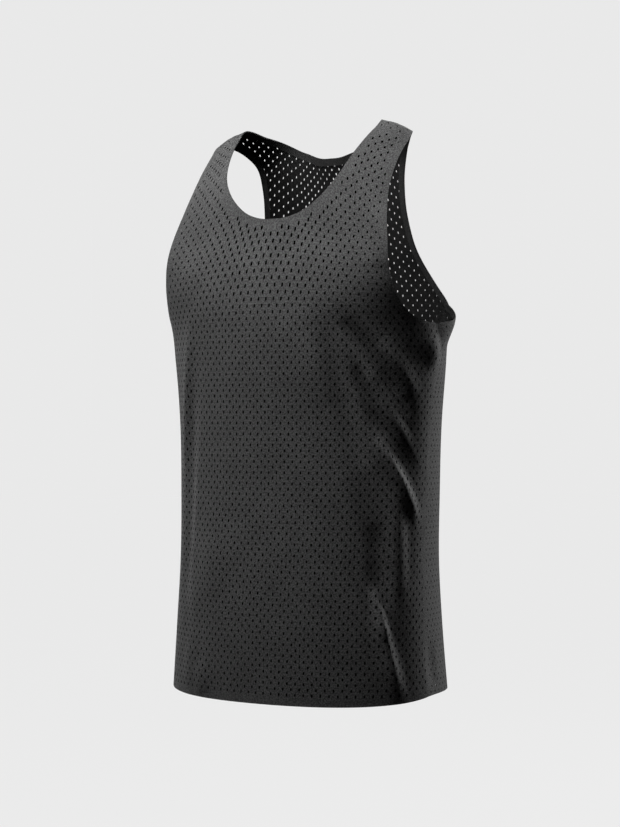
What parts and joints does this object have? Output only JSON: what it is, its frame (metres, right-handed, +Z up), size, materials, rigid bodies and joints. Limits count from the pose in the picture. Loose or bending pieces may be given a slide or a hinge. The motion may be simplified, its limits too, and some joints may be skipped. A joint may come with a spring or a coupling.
{
  "type": "running singlet",
  "caption": "Sleeveless running top of light perforated knit with wide straps, a scooped neck and deep armholes, hollow as worn.",
  "frame": {"origin": "between the tops of the two straps, at the height of the shoulder ridge, where the wearer's shoulders hold the garment", "axes": "+Z up, -Y the way the wearer faces, +X the wearer's left"},
  "size_m": [0.3616, 0.2428, 0.6795],
  "materials": {
    "perforated_knit": "matt charcoal knit with small holes",
    "bonded_tape": "matt charcoal tape"
  },
  "bodies": {
    "root": {"front_panel": "perforated_knit", "back_panel": "perforated_knit", "neck_tape": "bonded_tape", "armhole_tape_left": "bonded_tape", "armhole_tape_right": "bonded_tape", "hem_tape": "bonded_tape"}
  },
  "joints": []
}
